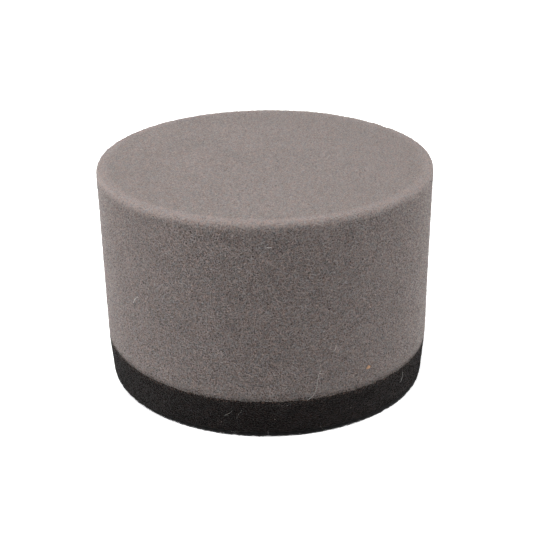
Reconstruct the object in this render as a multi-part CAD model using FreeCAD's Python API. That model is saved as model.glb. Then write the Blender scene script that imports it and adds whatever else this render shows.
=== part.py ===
"""A round foam polishing wheel, made as a glued stack of five layers.

From the bottom up: a loop fabric that grips a hook-faced backing plate, an adhesive film, a dense
backing foam, a second adhesive film and the thick, soft polishing foam with the flat working face.
Every layer is a body of revolution about Z. The origin is the centre of the underside, and +Z points
out of the working face. Millimetres.
"""

import FreeCAD, Part
import os

# Driving dimensions
FACE_DIAMETER = 75.0  # across the working face, before its edge is rounded
HEIGHT = 50.0  # from the underside to the working face
JOINT_DIAMETER = 73.4  # where the two foams meet
JOINT_HEIGHT = 9.0  # from the underside to where the two foams meet
BASE_DIAMETER = 71.8  # across the underside, before its edge is rounded
FABRIC_THICKNESS = 1.2  # the loop fabric, cloth and pile together
FILM_THICKNESS = 0.2  # each adhesive film
FILM_INSET = 0.6  # a film stops this far short of the cut side, so that no glue shows
FACE_EDGE_RADIUS = 0.8  # rounding round the working face
BASE_EDGE_RADIUS = 0.3  # rounding round the underside


def side_radius(height):
    """Radius of the cut side at a height. The side tapers more below the joint than above it."""
    if height < JOINT_HEIGHT:
        low, low_diameter, high, high_diameter = 0.0, BASE_DIAMETER, JOINT_HEIGHT, JOINT_DIAMETER
    else:
        low, low_diameter, high, high_diameter = JOINT_HEIGHT, JOINT_DIAMETER, HEIGHT, FACE_DIAMETER
    share = (height - low) / (high - low)
    return (low_diameter + share * (high_diameter - low_diameter)) / 2


def layer(bottom, top, inset=0.0):
    """One flat layer between two heights, cut to the tapered side or a little short of it."""
    return Part.makeCone(
        side_radius(bottom) - inset,
        side_radius(top) - inset,
        top - bottom,
        FreeCAD.Vector(0, 0, bottom),
    )


def with_rounded_edge(solid, height, radius):
    """The solid with the circular edge at this height rounded."""
    rings = [
        edge
        for edge in solid.Edges
        if isinstance(edge.Curve, Part.Circle) and abs(edge.Curve.Center.z - height) < 1e-6
    ]
    return solid.makeFillet(radius, rings)


def loop_fabric():
    fabric = layer(0.0, FABRIC_THICKNESS)
    return with_rounded_edge(fabric, 0.0, BASE_EDGE_RADIUS)


def loop_bond():
    return layer(FABRIC_THICKNESS, FABRIC_THICKNESS + FILM_THICKNESS, inset=FILM_INSET)


def backing_foam():
    return layer(FABRIC_THICKNESS + FILM_THICKNESS, JOINT_HEIGHT - FILM_THICKNESS / 2)


def foam_bond():
    return layer(
        JOINT_HEIGHT - FILM_THICKNESS / 2, JOINT_HEIGHT + FILM_THICKNESS / 2, inset=FILM_INSET
    )


def polishing_foam():
    body = layer(JOINT_HEIGHT + FILM_THICKNESS / 2, HEIGHT)
    return with_rounded_edge(body, HEIGHT, FACE_EDGE_RADIUS)


def main():
    os.makedirs("parts", exist_ok=True)
    for make in (loop_fabric, loop_bond, backing_foam, foam_bond, polishing_foam):
        (solid,) = make().Solids
        assert solid.isValid(), make.__name__
        solid.exportStep(f"parts/{make.__name__}.step")
        box = solid.BoundBox
        print(f"{make.__name__}: z {box.ZMin:.2f} to {box.ZMax:.2f}, {solid.Volume / 1000:.2f} cm3")


main()
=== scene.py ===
import math

import bmesh
import bpy
import numpy as np
from mathutils import Matrix, Vector, geometry, noise


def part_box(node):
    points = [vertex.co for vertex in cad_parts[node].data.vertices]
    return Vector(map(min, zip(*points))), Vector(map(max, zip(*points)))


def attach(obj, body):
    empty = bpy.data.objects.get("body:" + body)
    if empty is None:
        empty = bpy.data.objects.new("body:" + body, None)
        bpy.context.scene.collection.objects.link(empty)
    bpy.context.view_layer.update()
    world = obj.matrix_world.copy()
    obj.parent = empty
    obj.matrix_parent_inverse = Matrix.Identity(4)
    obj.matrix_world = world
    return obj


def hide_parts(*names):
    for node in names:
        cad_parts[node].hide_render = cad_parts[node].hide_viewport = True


# A foam polishing wheel: a thick grey foam body on a thin black backing foam, with a loop fabric
# underneath. Both foams are skins of modelled, dished cells, and the fabric carries a pile of
# modelled loops. Lengths are in metres, and the front of the wheel is at -Y.

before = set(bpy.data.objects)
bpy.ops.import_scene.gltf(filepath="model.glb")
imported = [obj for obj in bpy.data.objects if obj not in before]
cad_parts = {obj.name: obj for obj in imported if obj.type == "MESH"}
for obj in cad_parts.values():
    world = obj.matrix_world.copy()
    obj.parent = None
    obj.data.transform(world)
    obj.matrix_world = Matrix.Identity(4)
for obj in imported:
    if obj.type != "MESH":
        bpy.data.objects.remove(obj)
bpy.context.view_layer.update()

MM = 0.001
TURN = 2 * math.pi

# Sizes that the frame holds
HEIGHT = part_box("polishing_foam")[1].z
FACE_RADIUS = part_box("polishing_foam")[1].x
FILM_LOW, FILM_HIGH = (corner.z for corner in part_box("foam_bond"))
JOINT_HEIGHT = (FILM_LOW + FILM_HIGH) / 2
JOINT_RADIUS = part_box("backing_foam")[1].x
BACKING_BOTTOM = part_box("backing_foam")[0].z
FABRIC_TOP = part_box("loop_fabric")[1].z
FABRIC_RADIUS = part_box("loop_fabric")[1].x
FILM_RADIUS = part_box("foam_bond")[1].x

# The foams' cells
FACE_EDGE = 0.8 * MM  # rounding round the working face
GREY_PITCH = 0.70 * MM  # from one cell of the polishing foam to the next
BLACK_PITCH = 0.42 * MM  # and of the backing foam
GREY_DEPTH = 0.24 * MM  # how deep a cut cell of the polishing foam is, on average
BLACK_DEPTH = 0.17 * MM  # and of the backing foam
DEPTH_SPREAD = 0.4  # how much shallower or deeper a cell may be, as a share of that
STRUT_PROUD = (0.15, 0.55)  # how far the struts between cells stand proud, as shares of it
FACE_CUT = 0.64  # how open the cells of the face are, beside those of the side
JITTER = 0.36  # how far a cell's middle strays from an even net, as a share of the pitch

# How the soft, hand-cut wheel differs from a true round
LEAN = 0.29 * MM  # how far the soft body leans to -X at its face
UNEVEN = 0.08 * MM  # how far the cut surface strays from a true round
UNEVEN_SCALE = 14 * MM  # size of those waves
SWELL = 0.17 * MM  # how much taller the soft body stands than its nominal height
TILT = 0.12 * MM  # how much more so towards +X, and less so towards -X
RAGGED = 0.07 * MM  # how far the line between the two foams strays
RAGGED_SCALE = 1.1 * MM  # size of those waves
NOTCH = 0.28 * MM  # how far the grey foam's lower edge goes up and down from cell to cell
SKEW_WAY = math.radians(-155)  # towards here the joint rises and the base is cut away
SKEW_SPREAD = math.radians(28)  # how far that spreads to either side
JOINT_SKEW = 0.85 * MM  # how far the joint rises
BASE_SKEW = 0.5 * MM  # how much of the base is cut away
CREVICE = 0.12 * MM  # how far the black foam's upper edge falls away from the joint

# The foams are stained at the joint, by adhesive and by crumbs. The grey foam's darkening there is also
# painted shade of the crevice between the foams.
STAIN_AND_SHADE_REACH = 0.45 * MM
GREY_STAIN_AND_SHADE = 0.9  # how strong the grey foam's stain and painted shade are at the joint itself
BLACK_STAIN = 0.06
CRUMB_STAIN = 1.5  # how much stronger it is on a crumb
CRUMBS = 0.15  # share of the black foam's cells and struts that hold a crumb there

# The face's edge is frayed, with shallower cells, and is lighter than the rest: painted light, for light
# that shines through the foam's thin edge
LIT_WORN_START, LIT_WORN_FULL = 2.2 * MM, 0.6 * MM  # how far in on the face it begins, and stops growing
LIT_WORN_FADE = 2.0 * MM  # how fast it fades down the side
EDGE_PAINTED_LIGHT = 0.36  # how much lighter the edge's painted light makes it, where 0 to 1 is from the foam's darkest to its palest
WORN_SHALLOWER = 0.7  # how much shallower its cells are, as a share
LIT_WORN_LESS = 0.2  # how much less worn, and less lit by the painted light, it is towards +X, as a share

# The loop fabric
PILE_HEIGHT = 0.23 * MM  # how far the loops hang below their cloth
CLOTH_EDGE = 0.25 * MM  # rounding of the cloth's lower edge
CLOTH_COLUMNS = 480
CLOTH_FUZZ = 0.0015  # how far its points stray in and out, as a share of their radius
LOOP_COUNT = 4000
EDGE_LOOPS = 1900  # more of them, along the cut edge
EDGE_BAND = 0.7 * MM  # how far in from the cut edge those reach
LOOP_SPAN = 1.7 * MM  # about how far along the cloth a loop goes
LOOP_THREAD = 0.04 * MM  # radius

# Lint and dust that lie on the wheel
HAIR_THREAD = 0.032 * MM  # radius of a hair whose thickness is 1
# Each hair: degrees round from the front, height in mm, heading in degrees from level, length in mm,
# how many degrees it turns on its way, and thickness.
HAIRS = (
    (-50.7, 26.2, 58, 3.1, -34, 1.6),
    (-44.0, 28.7, 30, 1.7, 45, 0.4),
    (0.3, 44.8, 0, 1.0, 0, 2.1),
    (17.9, 15.7, -122, 2.2, 40, 0.85),
    (16.7, 13.8, -92, 5.9, -66, 0.85),
    (22.2, 19.5, 60, 1.2, 10, 0.9),
    (55.0, 7.6, -90, 2.6, -50, 0.65),
    (-14.8, 5.0, 34, 2.2, 10, 0.4),
    (-10.7, 4.6, 65, 2.4, -15, 0.17),
    (17.9, 1.8, -50, 1.2, 0, 0.2),
    (-13.0, 1.1, -7, 2.0, 15, 0.2),
    (0.6, 8.1, -3, 4.5, 8, 0.1),
    (-0.1, 1.7, -90, 1.0, 5, 0.3),
)
STRAY_HAIRS = 14  # on the sides that those don't reach
BEHIND = (95, 265)  # degrees round from the front, where those sides are
HAIR_POINTS = 16
HAIR_LIFT = 0.12 * MM  # how far the middle of a hair stands off the foam
TUBE_SIDES = 3
# Each fleck of dust: degrees round from the front, height and size in mm, and how pale it is.
FLECKS = (
    (36.0, 13.5, 1.1, 0.12),
    (-16.1, 3.3, 0.14, 0.6),
    (2.3, 4.6, 0.16, 0.8),
    (29.5, 4.6, 0.13, 0.8),
)
STRAY_FLECKS = 9

# The foams' colours
GREY = (0.154, 0.130, 0.122)
BLACK = (0.0067, 0.0060, 0.0059)
GREY_PIT_SHADE = 0.05  # how much darker painted shade makes a cell of average depth, on the scale of the edge's painted light
# The same painted shade in the backing foam's cells
BLACK_PIT_SHADE = 0.25
SMALL_BLOTCH, LARGE_BLOTCH = 2.4 * MM, 12 * MM  # sizes of its lighter and darker blotches
HUE_BLOTCH = 0.6 * MM  # and of its drifts in hue
BUMP = 1.0  # height of the pits, as a share of their size

rng = np.random.default_rng(seed=20)


def smooth_step(low, high, value):
    """0 below low, 1 above high, and a smooth rise between."""
    share = np.clip((value - low) / (high - low), 0, 1)
    return share * share * (3 - 2 * share)


# ---------------------------------------------------------------- shapes of revolution
def side_radius(z):
    """Radius of the cut side at height z."""
    slope = (JOINT_RADIUS - FABRIC_RADIUS) / (FILM_LOW - FABRIC_TOP)
    base = FABRIC_RADIUS - slope * FABRIC_TOP
    return np.interp(z, (0, JOINT_HEIGHT, HEIGHT), (base, JOINT_RADIUS, FACE_RADIUS))


def outline(s):
    """The grey body's outline, s metres from the middle of its face: radius, height and outward normal."""
    flat = FACE_RADIUS - FACE_EDGE
    bend = np.clip((s - flat) / FACE_EDGE, 0, math.pi / 2)
    below = np.maximum(s - flat - FACE_EDGE * math.pi / 2, 0)
    z = HEIGHT - FACE_EDGE * (1 - np.cos(bend)) - below
    r = np.where(
        below > 0,
        side_radius(z),
        np.minimum(s, flat) + FACE_EDGE * np.sin(bend),
    )
    return r, z, np.sin(bend), np.cos(bend)


def skewed(angle):
    """1 towards the side where the wheel is cut a little askew, and 0 away from it."""
    return np.exp(2 / SKEW_SPREAD**2 * (np.cos(angle - SKEW_WAY) - 1))


def joint_height(angle):
    """Height of the slightly ragged line where the two foams meet."""
    wander = [
        noise.noise(Vector((math.cos(a), math.sin(a), 0)) * (JOINT_RADIUS / RAGGED_SCALE))
        for a in angle
    ]
    return JOINT_HEIGHT + JOINT_SKEW * skewed(angle) + RAGGED * np.array(wander)


def round_points(r, angle, z):
    """Points, or directions, at these radii, angles and heights about the wheel's axis."""
    return np.column_stack([r * np.cos(angle), r * np.sin(angle), np.broadcast_to(z, angle.shape)])


def stray(points, scale, seed):
    """Smooth noise from about -1 to 1 at each point."""
    shift = Vector((seed, 2 * seed, 3 * seed))
    return np.array([noise.noise(Vector(p / scale) + shift) for p in points])


# ---------------------------------------------------------------- nets of cells
def delaunay(points):
    """Triangles between 2D points, anticlockwise."""
    found = geometry.delaunay_2d_cdt([Vector(p) for p in points], [], [], 0, 1e-12)
    source = np.array([ids[0] for ids in found[3]])
    return source[np.array(found[2])]


def side_net(width, length, pitch):
    """A strip of jittered points that closes on itself: x runs round and y down. Its first and last rows
    are the strip's edges."""
    columns = round(width / pitch)
    rows = round(length / (pitch * math.sqrt(3) / 2))
    row, column = (grid.ravel() for grid in np.mgrid[0 : rows + 1, 0:columns])
    points = np.column_stack([(column + 0.5 * (row % 2)) * width / columns, row * length / rows])
    wander = rng.uniform(-JITTER, JITTER, points.shape) * pitch
    wander[(row == 0) | (row == rows), 1] = 0
    points += wander
    near = 4 * pitch  # points this near an end are repeated beyond the other one
    index = np.arange(len(points))
    left, right = index[points[:, 0] < near], index[points[:, 0] > width - near]
    all_index = np.concatenate([index, left, right])
    shift = np.concatenate([np.zeros(len(index)), np.full(len(left), width), np.full(len(right), -width)])
    wrapped = points[all_index] + np.column_stack([shift, np.zeros(len(shift))])
    triangles = delaunay(wrapped / pitch)
    middle = wrapped[triangles, 0].mean(axis=1)
    kept = triangles[(middle >= 0) & (middle < width)]
    return points, all_index[kept], columns


def face_net(ring, pitch):
    """Jittered points over a disc, then the given ring of points round its edge."""
    radius = np.hypot(*ring[0])
    count = round(radius / pitch * 1.2)  # rows and columns enough to cover the disc
    row, column = (grid.ravel() for grid in np.mgrid[-count : count + 1, -count : count + 1])
    points = np.column_stack([(column + 0.5 * (row % 2)), row * math.sqrt(3) / 2]) * pitch
    points += rng.uniform(-JITTER, JITTER, points.shape) * pitch
    inside = points[np.hypot(*points.T) < radius - 0.6 * pitch]
    points = np.vstack([inside, ring])
    return points, delaunay(points / pitch)


def cells(net, normals, depths, triangles):
    """One dished cell round each point of a net. Cells meet at the middles of the net's triangles."""
    count = len(net)
    corners = net[triangles].mean(axis=1)
    corner_normals = normals[triangles].mean(axis=1)
    corner_normals /= np.linalg.norm(corner_normals, axis=1)[:, None]
    proud = rng.uniform(*STRUT_PROUD, len(corners)) * depths[triangles].mean(axis=1)
    points = np.vstack([net - normals * depths[:, None], corners + corner_normals * proud[:, None]])

    # Each side of a triangle gives a face from a cell's middle to the corners on either hand, or at
    # the net's own edge to the next cell's middle.
    start = triangles.ravel()
    end = np.roll(triangles, -1, axis=1).ravel()
    corner = count + np.repeat(np.arange(len(triangles)), 3)
    here, there = start * count + end, end * count + start
    order = np.argsort(here)
    place = np.searchsorted(here[order], there).clip(max=len(here) - 1)
    match = order[place]
    inner = here[match] == there
    beside = np.where(inner, corner[match], end)
    faces = np.column_stack([start, beside, corner])
    return points, faces


def add_cap(points, faces, rim, inner_ring, middle, upward):
    """Closes a skin at a rim of its points, by way of an inner ring to a point in the middle."""
    first, count = len(points), len(rim)
    centre = first + count
    points = np.vstack([points, inner_ring, [middle]])
    outer, outer_next = rim, np.roll(rim, -1)
    inner = first + np.arange(count)
    inner_next = np.roll(inner, -1)
    band = np.vstack(
        [
            np.column_stack([outer, outer_next, inner_next]),
            np.column_stack([outer, inner_next, inner]),
            np.column_stack([inner, inner_next, np.full(count, centre)]),
        ]
    )
    return points, np.vstack([faces, band if upward else band[:, ::-1]])


def new_piece(name, points, faces, material, **values):
    """An object made of these points and faces. Each named value is kept at its points for the material."""
    mesh = bpy.data.meshes.new(name)
    mesh.from_pydata(points.tolist(), [], faces if isinstance(faces, list) else faces.tolist())
    mesh.validate()
    mesh.shade_smooth()
    for key, value in values.items():
        layer = mesh.attributes.new(key, "FLOAT", "POINT")
        layer.data.foreach_set("value", np.pad(value, (0, len(points) - len(value))).astype(np.float32))
    mesh.materials.append(material)
    piece = bpy.data.objects.new(name, mesh)
    bpy.context.scene.collection.objects.link(piece)
    return piece


def uneven(points, normals):
    """Small, slow waves in a cut surface, with the lean and swell of the soft body."""
    points = points + normals * (UNEVEN * stray(points, UNEVEN_SCALE, 1))[:, None]
    points[:, 0] -= LEAN * points[:, 2] / HEIGHT
    points[:, 2] *= 1 + (SWELL + TILT * points[:, 0] / FACE_RADIUS) / HEIGHT
    return points


def cell_depths(count, mean):
    """Depths of this many cells, some cut near their edge and some through their deepest part."""
    return mean * rng.uniform(1 - DEPTH_SPREAD, 1 + DEPTH_SPREAD, count)


def lit_and_worn_share(distance, angle):
    """How worn the grey foam is, and how much painted light lightens its edge, from 0 to 1, at distances
    from the middle of its face and on down.
    """
    bend_start = FACE_RADIUS - FACE_EDGE
    lit_and_worn = 0.5 * smooth_step(bend_start - LIT_WORN_START, bend_start - LIT_WORN_FULL, distance)
    lit_and_worn += 0.5 * smooth_step(bend_start, bend_start + FACE_EDGE, distance)
    lit_and_worn *= 1 - smooth_step(bend_start + FACE_EDGE, bend_start + FACE_EDGE + LIT_WORN_FADE, distance)
    return lit_and_worn * (1 - LIT_WORN_LESS * np.clip(np.cos(angle), 0, 1))


# ---------------------------------------------------------------- pieces
def grey_body(material):
    """The polishing foam: a cellular face, rounded edge and side, closed flat over the adhesive film."""
    face_length = FACE_RADIUS - FACE_EDGE + FACE_EDGE * math.pi / 2
    side_length = HEIGHT - FACE_EDGE - JOINT_HEIGHT
    width = TURN * FACE_RADIUS
    strip, strip_triangles, columns = side_net(width, side_length, GREY_PITCH)
    angle = strip[:, 0] / width * TURN
    ring = face_length * np.column_stack([np.cos(angle[:columns]), np.sin(angle[:columns])])
    # The strip runs down the side, so its triangles are turned over to face outward.
    face, face_triangles = face_net(ring, GREY_PITCH)
    inner = len(face) - columns
    face_angle = np.arctan2(face[:inner, 1], face[:inner, 0])
    angles = np.concatenate([face_angle, angle])
    distance = np.concatenate([np.hypot(*face[:inner].T), face_length + strip[:, 1]])
    triangles = np.vstack([face_triangles, inner + strip_triangles[:, ::-1]])

    r, z, out, up = outline(distance)
    rim = np.arange(len(angles) - columns, len(angles))
    z += JOINT_SKEW * skewed(angles) * np.clip((distance - face_length) / side_length, 0, 1)
    z[rim] = joint_height(angles[rim]) + NOTCH * rng.uniform(-0.55, 0.45, columns)
    net = round_points(r, angles, z)
    normals = round_points(out, angles, up)
    # These are for every point of the skin: the cells' middles, then the struts between them.
    corners = net[triangles].mean(axis=1)
    every = np.concatenate([distance, distance[triangles].mean(axis=1)])
    way = np.concatenate([angles, np.arctan2(corners[:, 1], corners[:, 0])])
    lit_and_worn = lit_and_worn_share(every, way)
    bend_start, bend_end = FACE_RADIUS - FACE_EDGE, face_length + FACE_EDGE
    cut = FACE_CUT + (1 - FACE_CUT) * smooth_step(bend_start, bend_end, every)
    depths = cell_depths(len(net), GREY_DEPTH)
    depths *= 1 - WORN_SHALLOWER * lit_and_worn[: len(net)]
    depths *= cut[: len(net)]
    depths[rim] = 0
    net = uneven(net, normals)
    points, faces = cells(net, normals, depths, triangles)
    # The edge's painted light: lighter, for light that shines through the thin foam there.
    tone = EDGE_PAINTED_LIGHT * lit_and_worn
    # Painted shade: deeper cells are darker.
    tone[: len(net)] -= GREY_PIT_SHADE * depths / GREY_DEPTH
    to_joint = face_length + side_length - every
    # Darker towards the joint: adhesive stain, and painted shade of the crevice between the foams.
    stain = GREY_STAIN_AND_SHADE * np.exp(-to_joint / STAIN_AND_SHADE_REACH)
    rim = rim[np.argsort(angles[rim])]
    inner_ring = round_points(FILM_RADIUS, angles[rim], FILM_HIGH)
    points, faces = add_cap(points, faces, rim, inner_ring, (0, 0, FILM_HIGH), upward=False)
    return new_piece("grey_foam_body", points, faces, material, tone=tone, stain=stain, cut=cut)


def black_backing(material):
    """The backing foam: a finer cellular side, closed flat over and under by its two adhesive films."""
    low, high = FABRIC_TOP, JOINT_HEIGHT
    width = TURN * JOINT_RADIUS
    strip, triangles, columns = side_net(width, high - low, BLACK_PITCH)
    angle = strip[:, 0] / width * TURN
    z = high - strip[:, 1]
    z += JOINT_SKEW * skewed(angle) * (z - low) / (high - low)
    top = np.arange(columns)
    bottom = np.arange(len(strip) - columns, len(strip))
    z[top] = joint_height(angle[top]) - CREVICE * rng.uniform(0, 1, columns)
    net = round_points(side_radius(z), angle, z)
    normals = round_points(1.0, angle, np.zeros(len(angle)))
    depths = cell_depths(len(net), BLACK_DEPTH)
    depths[top] = depths[bottom] = 0
    net = uneven(net, normals)
    points, faces = cells(net, normals, depths, triangles[:, ::-1])
    # Painted shade: deeper cells are darker.
    tone = -BLACK_PIT_SHADE * depths / BLACK_DEPTH
    from_joint = strip[:, 1]
    from_joint = np.concatenate([from_joint, from_joint[triangles].mean(axis=1)])
    crumbs = np.where(rng.uniform(0, 1, len(from_joint)) < CRUMBS, rng.uniform(0.6, 1, len(from_joint)), 0)
    stain = (BLACK_STAIN + CRUMB_STAIN * crumbs) * np.exp(-from_joint / STAIN_AND_SHADE_REACH)
    cut = np.ones(len(from_joint))
    for rim, height, upward in ((top, FILM_LOW, True), (bottom, BACKING_BOTTOM, False)):
        rim = rim[np.argsort(angle[rim])]
        inner_ring = round_points(FILM_RADIUS, angle[rim], height)
        points, faces = add_cap(points, faces, rim, inner_ring, (0, 0, height), upward)
    return new_piece("black_foam_backing", points, faces, material, tone=tone, stain=stain, cut=cut)


# ---------------------------------------------------------------- fibres
def tubes(paths, radius):
    """A closed, three-sided tube along each path. paths is indexed by tube, point and axis, and radius is
    one number, or one for each tube."""
    count, length, _ = paths.shape
    along = np.gradient(paths, axis=1)
    along /= np.linalg.norm(along, axis=2)[..., None]
    start_to_end = paths[:, -1] - paths[:, 0]
    across = np.cross(start_to_end, rng.normal(size=(count, 3)))[:, None] + 0 * along
    across -= (across * along).sum(axis=2)[..., None] * along
    across /= np.linalg.norm(across, axis=2)[..., None]
    third = np.cross(along, across)
    corner = TURN / TUBE_SIDES * np.arange(TUBE_SIDES)
    ring = (
        np.cos(corner)[None, None, :, None] * across[:, :, None]
        + np.sin(corner)[None, None, :, None] * third[:, :, None]
    )
    points = paths[:, :, None] + np.reshape(radius, (-1, 1, 1, 1)) * ring
    index = np.arange(count * length * TUBE_SIDES).reshape(count, length, TUBE_SIDES)
    here, after = index, np.roll(index, -1, axis=2)
    quads = np.stack([here[:, :-1], after[:, :-1], after[:, 1:], here[:, 1:]], axis=-1).reshape(-1, 4)
    ends = np.vstack([index[:, 0, ::-1], index[:, -1]])
    return points.reshape(-1, 3), quads.tolist() + ends.tolist()


def lathe(profile, columns):
    """A closed shape of revolution from (radius, height) pairs that run from the axis back to the axis."""
    angle = TURN * np.arange(columns) / columns
    rings = [round_points(r, angle, z) for r, z in profile[1:-1]]
    points = np.vstack([*rings, [(0, 0, profile[0][1])], [(0, 0, profile[-1][1])]])
    index = np.arange(len(rings) * columns).reshape(len(rings), columns)
    after = np.roll(index, -1, axis=1)
    bands = np.stack([index[:-1], after[:-1], after[1:], index[1:]], axis=-1).reshape(-1, 4)
    first, last = len(points) - 2, len(points) - 1
    fans = [(first, b, a) for a, b in zip(index[0], after[0])]
    fans += [(last, a, b) for a, b in zip(index[-1], after[-1])]
    return points, bands.tolist() + [tuple(map(int, fan)) for fan in fans]


def base_lift(points):
    """How much higher the cloth's lower edge is where the wheel is cut a little askew."""
    share = np.hypot(points[:, 0], points[:, 1]) / FABRIC_RADIUS
    return BASE_SKEW * skewed(np.arctan2(points[:, 1], points[:, 0])) * smooth_step(0.9, 1, share)


def loop_cloth(material):
    """The cloth of the loop fabric, flat above, with a soft lower edge."""
    bend = np.linspace(0, math.pi / 2, 6)
    low, radius = PILE_HEIGHT, side_radius(PILE_HEIGHT)
    edge = [
        (radius - CLOTH_EDGE * (1 - math.sin(b)), low + CLOTH_EDGE * (1 - math.cos(b))) for b in bend
    ]
    flat = [(radius * share, low) for share in np.linspace(0, 0.97, 60)]
    above = [(radius * share, FABRIC_TOP) for share in (0.995, 0.9, 0)]
    points, faces = lathe(flat + edge + above, CLOTH_COLUMNS)
    fuzz = stray(points, 0.5 * MM, 5)
    points *= (1 + CLOTH_FUZZ * fuzz)[:, None] * np.array((1, 1, 0)) + np.array((0, 0, 1))
    points[:, 2] += base_lift(points) * (points[:, 2] < FABRIC_TOP - CLOTH_EDGE)
    return new_piece("loop_cloth", points, faces, material)


def loop_pile(material):
    """The pile of the loop fabric: thread loops that leave the cloth, hang down and go back into it."""
    share = np.linspace(0, 1, 6)
    reach = side_radius(0) - LOOP_THREAD
    count = LOOP_COUNT + EDGE_LOOPS
    r = reach * np.sqrt(rng.uniform(0, 1, count))
    angle = rng.uniform(0, TURN, count)
    heading = rng.uniform(0, TURN, count)
    edge = np.arange(count) >= LOOP_COUNT
    r[edge] = reach - EDGE_BAND * rng.uniform(0, 1, EDGE_LOOPS) ** 2
    heading[edge] = angle[edge] + TURN / 4 + rng.uniform(-0.1, 0.1, EDGE_LOOPS)
    middle = round_points(r, angle, PILE_HEIGHT + 2 * LOOP_THREAD)
    span = LOOP_SPAN * rng.uniform(0.5, 1.2, count)
    drop = (PILE_HEIGHT + LOOP_THREAD) * rng.uniform(0.6, 1.0, count)
    sway = span * rng.uniform(-0.35, 0.35, count) * np.where(edge, 0.1, 1)
    forward = round_points(1, heading, 0)
    sideways = round_points(1, heading + TURN / 4, 0)
    paths = (
        middle[:, None]
        + forward[:, None] * (span[:, None] * (share - 0.5))[..., None]
        + sideways[:, None] * (sway[:, None] * np.sin(TURN * share))[..., None]
        - np.array((0, 0, 1)) * (drop[:, None] * np.sin(math.pi * share))[..., None]
    )
    paths[..., 2] += base_lift(middle)[:, None]
    too_far = np.hypot(paths[..., 0], paths[..., 1]).max(axis=1) > reach + LOOP_THREAD
    return new_piece("loop_pile", *tubes(paths[~too_far], LOOP_THREAD), material)


def lint_hairs(material):
    """Loose hairs that lie on the side of the wheel."""
    behind = [
        (
            rng.uniform(*BEHIND),
            rng.uniform(4, 46),
            rng.uniform(-180, 180),
            rng.uniform(1, 5),
            rng.uniform(-70, 70),
            rng.uniform(0.4, 1.0),
        )
        for _ in range(STRAY_HAIRS)
    ]
    hairs = (*HAIRS, *behind)
    paths = []
    for azimuth, height, heading, length, bend, _ in hairs:
        share = np.linspace(0, 1, HAIR_POINTS)
        turned = np.radians(heading + bend * share**2)
        step = length * MM / (HAIR_POINTS - 1)
        z = height * MM + step * np.concatenate([[0], np.sin(turned[1:]).cumsum()])
        round_way = step * np.concatenate([[0], np.cos(turned[1:]).cumsum()])
        r = side_radius(z) + HAIR_THREAD + HAIR_LIFT * np.sin(math.pi * share)
        angle = math.radians(azimuth - 90) + round_way / side_radius(z)
        path = round_points(r, angle, z)
        path[:, 0] -= LEAN * z / HEIGHT
        paths.append(path)
    thread = HAIR_THREAD * np.array([hair[-1] for hair in hairs])
    return new_piece("lint_hairs", *tubes(np.array(paths), thread), material)


def dust_flecks(material):
    """Small lumps of dust that cling to the side of the wheel."""
    ball = bmesh.new()
    bmesh.ops.create_icosphere(ball, subdivisions=2, radius=0.5)
    shape = np.array([vertex.co for vertex in ball.verts])
    triangles = np.array([[vertex.index for vertex in face.verts] for face in ball.faces])
    ball.free()
    behind = [
        (rng.uniform(*BEHIND), rng.uniform(3, 47), rng.uniform(0.25, 0.6), rng.uniform(0, 1))
        for _ in range(STRAY_FLECKS)
    ]
    points, faces, pale = [], [], []
    for i, (azimuth, height, size, paleness) in enumerate((*FLECKS, *behind)):
        lump = shape * (1 + 0.5 * stray(shape, 0.4, i))[:, None] * (0.35, 1.0, 0.75) * size * MM
        turn = math.radians(azimuth - 90)
        out = np.array((math.cos(turn), math.sin(turn), 0))
        along = np.array((-math.sin(turn), math.cos(turn), 0))
        z = height * MM
        middle = out * side_radius(z) + np.array((-LEAN * z / HEIGHT, 0, z))
        points.append(
            middle
            + np.outer(lump[:, 0], out)
            + np.outer(lump[:, 1], along)
            + lump[:, 2:] * (0, 0, 1)
        )
        faces.append(triangles + i * len(shape))
        pale.append(np.full(len(shape), paleness))
    return new_piece("dust_flecks", np.vstack(points), np.vstack(faces), material, tone=np.concatenate(pale))


# ---------------------------------------------------------------- materials
def add_node(tree, kind, inputs=(), **settings):
    """A shader node with its settings, and with each named input set to a value or linked to a socket."""
    made = tree.nodes.new("ShaderNode" + kind)
    for name, value in settings.items():
        setattr(made, name, value)
    for name, value in dict(inputs).items():
        if isinstance(value, bpy.types.NodeSocket):
            tree.links.new(value, made.inputs[name])
        else:
            made.inputs[name].default_value = value
    return made


def new_material(name, **surface):
    """A material whose Principled shader has these values, its node tree and where its pattern is."""
    material = bpy.data.materials.new(name)
    material.use_nodes = True
    tree = material.node_tree
    shader = tree.nodes["Principled BSDF"]
    for socket, value in surface.items():
        shader.inputs[socket.replace("_", " ")].default_value = value
    place = add_node(tree, "TexCoord").outputs["Object"]
    return material, tree, shader, place


def grain(tree, place, size, detail=2.0):
    """Soft noise from 0 to 1 whose blotches are about this size."""
    inputs = {"Vector": place, "Scale": 1 / size, "Detail": detail, "Roughness": 0.6}
    return add_node(tree, "TexNoise", inputs).outputs["Fac"]


def pits(tree, place, size):
    """Round dots, 0 in their middles, about this far apart."""
    inputs = {"Vector": place, "Scale": 1 / size}
    return add_node(tree, "TexVoronoi", inputs).outputs["Distance"]


def kept(tree, key):
    """A value that a piece keeps at its points."""
    return add_node(tree, "Attribute", attribute_name=key).outputs["Fac"]


def weighted(tree, start, *terms):
    """start plus each (socket, weight) term."""
    total = start
    for socket, weight in terms:
        inputs = {0: socket, 1: weight, 2: total}
        total = add_node(tree, "Math", inputs, operation="MULTIPLY_ADD").outputs[0]
    return total


def blended(tree, factor, first, second, how="MIX"):
    """Two colours mixed, or with how="MULTIPLY" multiplied."""
    inputs = {"Factor": factor, 6: first, 7: second}
    return add_node(tree, "Mix", inputs, data_type="RGBA", blend_type=how).outputs[2]


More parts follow.
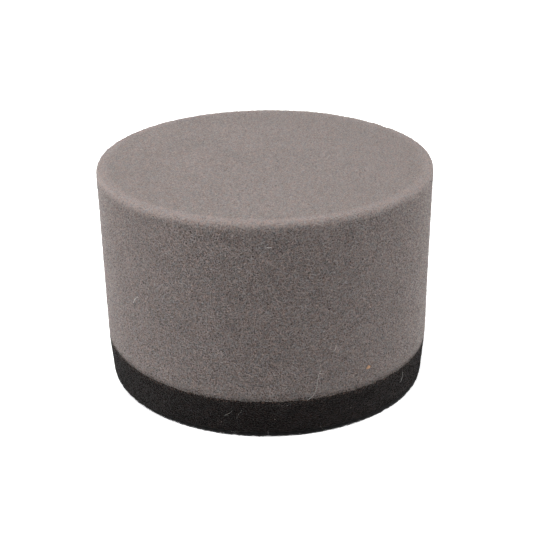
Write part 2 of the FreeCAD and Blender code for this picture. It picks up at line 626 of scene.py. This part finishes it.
def ramp(tree, factor, *stops):
    """Colours at places from 0 to 1."""
    node = add_node(tree, "ValToRGB", {"Fac": factor})
    elements = node.color_ramp.elements
    while len(elements) < len(stops):
        elements.new(1.0)
    for element, (place, colour) in zip(elements, stops):
        element.position = place
        element.color = (*colour, 1)
    return node.outputs["Color"]


def product(tree, first, second):
    """Two sockets multiplied."""
    return add_node(tree, "Math", {0: first, 1: second}, operation="MULTIPLY").outputs[0]


def foam_material(name, dark, middle, light, stain, size, contrast, mottle, hues, **surface):
    """Open-celled foam, whose pits have one size. Its colour runs from dark by way of middle to light.
    contrast is that of the pits where the foam is cut open, mottle that of its blotches, and hues are
    the two tints between which it drifts. It takes the stain's colour where its points say so; on the
    grey foam near the joint, that darkening is also painted shade."""
    material, tree, shader, place = new_material(name, Subsurface_Radius=(1.0, 0.9, 0.85), **surface)
    fine = pits(tree, place, size)
    finer = grain(tree, place, 0.5 * size, detail=0.0)
    # The pits average about 0, and the blotches average mottle, which is taken off the start.
    open_cells = weighted(tree, -1.25 * contrast, (fine, 0.2 * contrast), (finer, 2.3 * contrast))
    tone = weighted(
        tree,
        0.65 - mottle,
        (kept(tree, "tone"), 1.0),
        (product(tree, open_cells, kept(tree, "cut")), 1.0),
        (grain(tree, place, SMALL_BLOTCH), 1.1 * mottle),
        (grain(tree, place, LARGE_BLOTCH), 0.9 * mottle),
    )
    colour = ramp(tree, tone, (0.0, dark), (0.5, middle), (1.0, light))
    # Stains near the joint; on the grey foam they are painted shade as well.
    speckled = product(tree, kept(tree, "stain"), weighted(tree, -2.5, (finer, 7.0)))
    colour = blended(tree, speckled, colour, (*stain, 1))
    hue = ramp(tree, grain(tree, place, HUE_BLOTCH), (0.3, hues[0]), (0.7, hues[1]))
    colour = blended(tree, 1.0, colour, hue, "MULTIPLY")
    tree.links.new(colour, shader.inputs["Base Color"])
    tree.links.new(weighted(tree, 0.8, (finer, 0.2)), shader.inputs["Roughness"])
    height = weighted(tree, 0.0, (fine, 0.6), (finer, 1.2))
    inputs = {"Height": height, "Strength": 1.0, "Distance": BUMP * size}
    tree.links.new(add_node(tree, "Bump", inputs).outputs["Normal"], shader.inputs["Normal"])
    return material


def cloth_material():
    """Black knitted cloth: rows of small stitches."""
    material, tree, shader, place = new_material(
        "knitted_cloth", Specular_IOR_Level=0.1, Sheen_Weight=0.1, Sheen_Roughness=0.4
    )
    scale = {"Vector": place, "Scale": 1 / (6 * MM), "Distortion": 1.5}
    rows = add_node(tree, "TexWave", scale).outputs["Fac"]
    finer = grain(tree, place, 0.3 * MM)
    tone = weighted(tree, 0.0, (rows, 0.4), (finer, 0.6))
    colour = ramp(tree, tone, (0.1, (0.004, 0.004, 0.004)), (0.9, (0.015, 0.0145, 0.0145)))
    tree.links.new(colour, shader.inputs["Base Color"])
    tree.links.new(weighted(tree, 0.75, (finer, 0.2)), shader.inputs["Roughness"])
    inputs = {"Height": tone, "Strength": 0.6, "Distance": 0.1 * MM}
    tree.links.new(add_node(tree, "Bump", inputs).outputs["Normal"], shader.inputs["Normal"])
    return material


def thread_material(name, dark, light, shine):
    """Fibres that differ along their length."""
    material, tree, shader, place = new_material(
        name, Specular_IOR_Level=shine, Sheen_Weight=0.2, Sheen_Roughness=0.4
    )
    tone = grain(tree, place, 0.8 * MM)
    tree.links.new(ramp(tree, tone, (0.3, dark), (0.7, light)), shader.inputs["Base Color"])
    tree.links.new(weighted(tree, 0.5, (tone, 0.2)), shader.inputs["Roughness"])
    return material


def dust_material():
    """Specks of dust, from orange-brown to nearly white."""
    material, tree, shader, place = new_material("dust", Roughness=0.9, Specular_IOR_Level=0.2)
    mottled = weighted(tree, -0.1, (kept(tree, "tone"), 1.0), (grain(tree, place, 0.2 * MM), 0.2))
    colour = ramp(tree, mottled, (0.0, (0.34, 0.18, 0.09)), (1.0, (0.6, 0.57, 0.52)))
    tree.links.new(colour, shader.inputs["Base Color"])
    return material


def adhesive_material():
    """A dried film of adhesive, cloudy and slightly wrinkled."""
    material, tree, shader, place = new_material("adhesive", Specular_IOR_Level=0.5)
    cloud = grain(tree, place, 3 * MM, detail=4.0)
    colour = ramp(tree, cloud, (0.3, (0.07, 0.062, 0.05)), (0.7, (0.13, 0.12, 0.1)))
    tree.links.new(colour, shader.inputs["Base Color"])
    tree.links.new(weighted(tree, 0.3, (cloud, 0.3)), shader.inputs["Roughness"])
    inputs = {"Height": cloud, "Strength": 0.4, "Distance": 0.1 * MM}
    tree.links.new(add_node(tree, "Bump", inputs).outputs["Normal"], shader.inputs["Normal"])
    return material


def settle(piece, slot, *nodes):
    """A piece that rides on the wheel and may stand for CAD nodes, which it hides. slot is not used."""
    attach(piece, "root")
    if nodes:
        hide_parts(*nodes)
    return piece


def shade(colour, factor):
    """The colour made this many times as bright."""
    return tuple(factor * channel for channel in colour)


grey_foam = foam_material(
    "grey_foam",
    dark=shade(GREY, 0.25),
    middle=GREY,
    light=shade(GREY, 1.75),
    # Its dark stain at the joint: adhesive, and painted shade of the crevice.
    stain=(0.035, 0.027, 0.022),
    size=0.50 * MM,
    contrast=0.74,
    mottle=0.14,
    hues=((1.12, 1.0, 0.94), (0.88, 1.0, 1.06)),
    Specular_IOR_Level=0.2,
    Sheen_Weight=0.06,
    Sheen_Roughness=0.5,
    Subsurface_Weight=0.25,
    Subsurface_Scale=1.5 * MM,
)
black_foam = foam_material(
    "black_foam",
    dark=shade(BLACK, 0.1),
    middle=BLACK,
    light=shade(BLACK, 3.6),
    stain=(0.11, 0.088, 0.075),
    size=0.40 * MM,
    contrast=1.3,
    mottle=0.8,
    hues=((1.4, 1.0, 0.9), (0.85, 1.0, 1.05)),
    Specular_IOR_Level=0.05,
    Sheen_Weight=0.08,
    Sheen_Roughness=0.33,
)
body = settle(grey_body(grey_foam), "polishing_foam", "polishing_foam")
backing = settle(black_backing(black_foam), "backing_foam", "backing_foam")
cloth = settle(loop_cloth(cloth_material()), "loop_fabric", "loop_fabric")
thread = thread_material("pile_thread", (0.005, 0.005, 0.005), (0.015, 0.0145, 0.014), 0.2)
pile = settle(loop_pile(thread), "loop_fabric")
lint = lint_hairs(thread_material("lint", (0.45, 0.43, 0.4), (0.7, 0.68, 0.65), 0.3))
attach(lint, "root")
dust = dust_flecks(dust_material())
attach(dust, "root")
for name in ("foam_bond", "loop_bond"):
    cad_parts[name].material_slots[0].material = adhesive_material()


# ---------------------------------------------------------------- stage
# Each soft light: azimuth, elevation, distance, width and watts. Azimuth 0 is behind the camera, and
# 90 to its right.
LIGHTS = {
    "overhead": (-39, 77, 0.47, 0.35, 3.4),
    "left": (-91, 25, 0.8, 0.5, 4.4),
    "right": (97, 25, 0.8, 0.5, 4.6),
}
FLOOR_HALF = 0.55  # half its width
GLOW_START, GLOW_END = 0.25, 0.5  # distances from the wheel between which the floor's glow grows
NEAR_GLOW, FAR_GLOW = 0.57, 1.05  # its strength before and after
SKY = 1.5  # brighter than white, where the camera sees it
CAMERA_LENS = 97.1
CAMERA_DISTANCE = 331.3 * MM
CAMERA_ELEVATION = math.radians(23.655)
CAMERA_TURNS = (("Z", -0.00877), ("X", -0.00227), ("Y", -0.00065))  # a hand-held camera's small turns


def add_object(name, data):
    """An object in the scene that shows this data."""
    made = bpy.data.objects.new(name, data)
    bpy.context.scene.collection.objects.link(made)
    return made


def add_camera():
    """A camera in front of the wheel that looks a little down at it."""
    data = bpy.data.cameras.new("camera")
    data.lens = CAMERA_LENS
    data.sensor_width = 36
    data.clip_start = 0.01
    camera = add_object("camera", data)
    back = Vector((0, -math.cos(CAMERA_ELEVATION), math.sin(CAMERA_ELEVATION)))
    place = Vector((-LEAN, 0, HEIGHT / 2)) + back * CAMERA_DISTANCE
    pose = Matrix.Translation(place) @ back.to_track_quat("Z", "Y").to_matrix().to_4x4()
    for axis, angle in CAMERA_TURNS:
        pose @= Matrix.Rotation(angle, 4, axis)
    camera.matrix_world = pose
    bpy.context.scene.camera = camera


def add_softbox(name, azimuth, elevation, distance, size, power):
    """A square soft light that faces the wheel, and that the camera doesn't see."""
    data = bpy.data.lights.new(name, "AREA")
    data.size = size
    data.energy = power
    lamp = add_object(name, data)
    a, e = math.radians(azimuth), math.radians(elevation)
    way = Vector((math.sin(a) * math.cos(e), -math.cos(a) * math.cos(e), math.sin(e)))
    lamp.location = way * distance + Vector((0, 0, HEIGHT / 2))
    lamp.rotation_euler = way.to_track_quat("Z", "Y").to_euler()
    lamp.visible_camera = False


def add_floor():
    """A white table that glows a little, and more so far out, so that it ends without an edge."""
    mesh = bpy.data.meshes.new("floor")
    corners = [(FLOOR_HALF * x, FLOOR_HALF * y, 0) for x, y in ((-1, -1), (1, -1), (1, 1), (-1, 1))]
    mesh.from_pydata(corners, [], [(0, 1, 2, 3)])
    material, tree, shader, place = new_material(
        "white_floor", Roughness=0.8, Emission_Color=(1, 1, 1, 1)
    )
    far = add_node(tree, "VectorMath", {0: place}, operation="LENGTH").outputs["Value"]
    reach = {
        "Value": far,
        "From Min": GLOW_START,
        "From Max": GLOW_END,
        "To Min": NEAR_GLOW,
        "To Max": FAR_GLOW,
    }
    glow = add_node(tree, "MapRange", reach).outputs["Result"]
    tree.links.new(glow, shader.inputs["Emission Strength"])
    cloud = ramp(tree, grain(tree, place, 0.2), (0, (0.88, 0.88, 0.88)), (1, (0.92, 0.92, 0.92)))
    tree.links.new(cloud, shader.inputs["Base Color"])
    mesh.materials.append(material)
    add_object("floor", mesh)


def add_world():
    """White where the camera sees it, and dark for everything else."""
    world = bpy.data.worlds.new("world")
    world.use_nodes = True
    tree = world.node_tree
    seen = add_node(tree, "LightPath").outputs["Is Camera Ray"]
    strength = weighted(tree, 0.0, (seen, SKY))
    tree.links.new(strength, tree.nodes["Background"].inputs["Strength"])
    tree.nodes["Background"].inputs["Color"].default_value = (1, 1, 1, 1)
    bpy.context.scene.world = world


add_camera()
add_floor()
add_world()
for name, settings in LIGHTS.items():
    add_softbox(name, *settings)
bpy.context.scene.view_settings.view_transform = "Standard"
